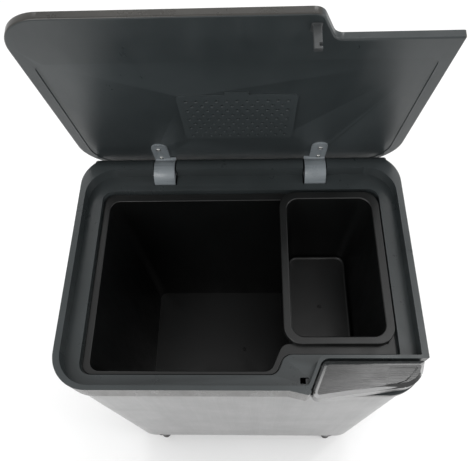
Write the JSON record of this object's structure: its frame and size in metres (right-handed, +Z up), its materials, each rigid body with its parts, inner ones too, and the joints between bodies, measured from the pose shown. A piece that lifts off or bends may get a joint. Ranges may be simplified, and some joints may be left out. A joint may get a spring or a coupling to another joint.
{
  "type": "touch-open kitchen waste bin",
  "caption": "Tall rectangular steel kitchen waste bin on short legs, with its touch-open lid raised over a large bucket and a small caddy.",
  "frame": {"origin": "on the floor, under the middle of the bin's body", "axes": "+Z up, -Y towards the front with the touch bar, +X to the user's right"},
  "size_m": [0.545, 0.4296, 1.0492],
  "materials": {
    "shell_steel": "satin, brushed up and down, with a fingerprint-proof lacquer",
    "bar_steel": "satin, pressed sheet with a rolled border",
    "lid_steel": "satin",
    "frame_plastic": "fine satin grain",
    "liner_plastic": "fine satin grain",
    "base_plastic": "matt",
    "bucket_plastic": "satin polypropylene",
    "arm_plastic": "satin",
    "latch_plastic": "satin",
    "leg_plastic": "satin",
    "pad_rubber": "matt",
    "carbon_foam": "open-pore carbon foam",
    "zinc_screws": "bright zinc",
    "pin_steel": "ground",
    "spring_steel": "oiled"
  },
  "bodies": {
    "bin": {"base_pan": "base_plastic", "body_shell": "shell_steel", "bracket_screws_left": "zinc_screws", "bracket_screws_right": "zinc_screws", "foot_pad_front_left": "pad_rubber", "foot_pad_front_right": "pad_rubber", "foot_pad_rear_left": "pad_rubber", "foot_pad_rear_right": "pad_rubber", "hinge_bracket_left": "frame_plastic", "hinge_bracket_right": "frame_plastic", "hinge_pin_left": "pin_steel", "hinge_pin_right": "pin_steel", "hinge_spring_left": "spring_steel", "hinge_spring_right": "spring_steel", "leg_front_left": "leg_plastic", "leg_front_right": "leg_plastic", "leg_rear_left": "leg_plastic", "leg_rear_right": "leg_plastic", "leg_screws": "zinc_screws", "rim_frame": "frame_plastic", "touch_bar_pin": "pin_steel", "touch_bar_spring": "spring_steel"},
    "lid": {"lid_liner": "liner_plastic", "lid_cover": "lid_steel", "filter_pad": "carbon_foam", "lid_striker": "latch_plastic", "striker_screw": "zinc_screws", "hinge_arm_left": "arm_plastic", "arm_screws_left": "zinc_screws", "hinge_arm_right": "arm_plastic", "arm_screws_right": "zinc_screws"},
    "filter_door": {"filter_cover": "liner_plastic"},
    "large_bucket": {"main_bucket": "bucket_plastic"},
    "small_bucket": {"caddy_bucket": "bucket_plastic"},
    "touch_bar": {"touch_bar_plate": "bar_steel", "touch_bar_carrier": "frame_plastic"},
    "latch": {"latch_bolt": "latch_plastic"}
  },
  "joints": [
    {"name": "lid_hinge", "type": "hinge", "parent": "bin", "child": "lid", "pos_m": [0, 0.179, 0.67], "axis": [-1, 0, 0], "range_deg": [-79.5, 0], "stiffness_Nm_per_rad": 4, "springref_deg": 20.05},
    {"name": "touch_bar_press", "type": "hinge", "parent": "bin", "child": "touch_bar", "pos_m": [0.246, -0.172, 0.675], "axis": [0, -1, 0], "range_deg": [0, 2.5], "stiffness_Nm_per_rad": 6, "springref_deg": -5.16, "deforming": ["touch_bar_spring"]},
    {"name": "latch_slide", "type": "slide", "parent": "bin", "child": "latch", "axis": [1, 0, 0], "range_m": [0, 0.005]},
    {"name": "main_bucket_lift", "type": "slide", "parent": "bin", "child": "large_bucket", "axis": [0, -0.0436, 0.999], "range_m": [0, 0.3]},
    {"name": "caddy_lift", "type": "slide", "parent": "large_bucket", "child": "small_bucket", "axis": [0, -0.0436, 0.999], "range_m": [0, 0.24]},
    {"name": "filter_cover_tilt", "type": "hinge", "parent": "lid", "child": "filter_door", "pos_m": [0.001, 0.19049, 0.76163], "axis": [1, 0, 0], "range_deg": [0, 18]}
  ],
  "couplings": [
    {"joint": "latch_slide", "follows": "touch_bar_press", "m_per_rad": 0.1145}
  ]
}
